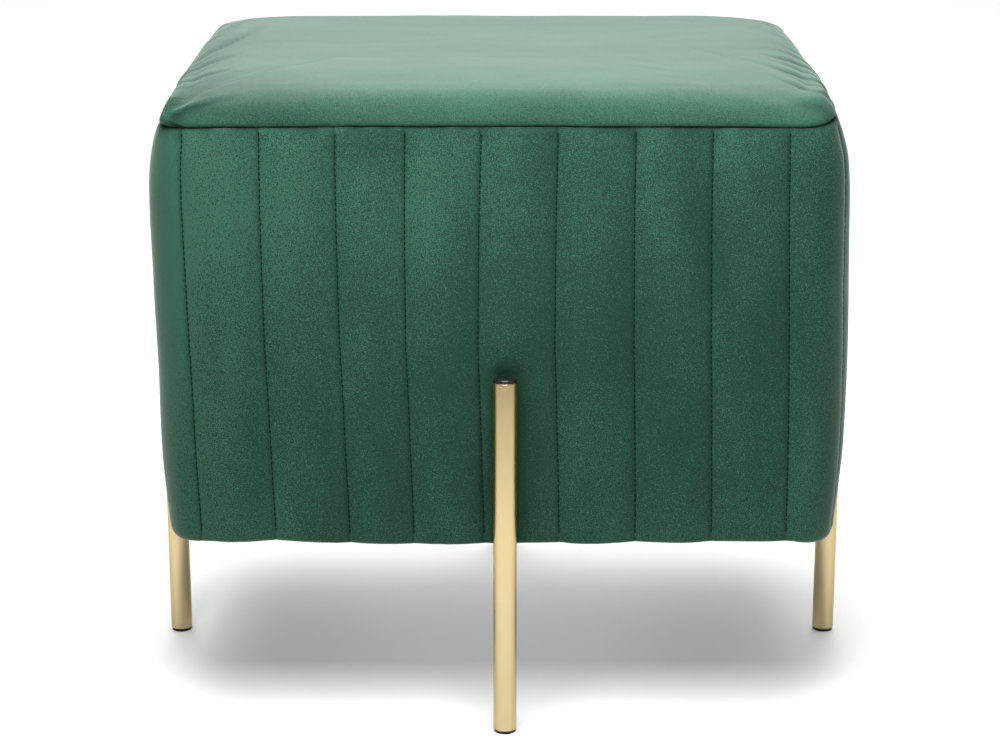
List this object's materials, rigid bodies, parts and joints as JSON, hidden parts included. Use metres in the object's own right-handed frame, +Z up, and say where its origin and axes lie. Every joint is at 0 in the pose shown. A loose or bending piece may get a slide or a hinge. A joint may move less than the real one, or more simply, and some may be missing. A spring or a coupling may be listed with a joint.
{
  "type": "pouf stool",
  "caption": "Upright padded cube stool with sewn upright channels round its sides, a plain rolled top, and slim round tube legs standing outside the middle of each side.",
  "frame": {"origin": "on the floor, under the middle of the stool", "axes": "+X to the stool's right along its longer side, +Y to its back, +Z up"},
  "size_m": [0.48, 0.38, 0.4284],
  "materials": {
    "velvet_band": "short-pile green velvet with sewn channels",
    "velvet_top": "short-pile green velvet, plain",
    "gold_tube": "satin gold plating on steel tube",
    "black_plastic": "moulded black plastic"
  },
  "bodies": {
    "root": {"side_band": "velvet_band", "top_panel": "velvet_top", "leg_front": "gold_tube", "leg_right": "gold_tube", "leg_back": "gold_tube", "leg_left": "gold_tube", "leg_plug_front": "black_plastic", "leg_plug_right": "black_plastic", "leg_plug_back": "black_plastic", "leg_plug_left": "black_plastic", "foot_glide_front": "black_plastic", "foot_glide_right": "black_plastic", "foot_glide_back": "black_plastic", "foot_glide_left": "black_plastic"}
  },
  "joints": []
}
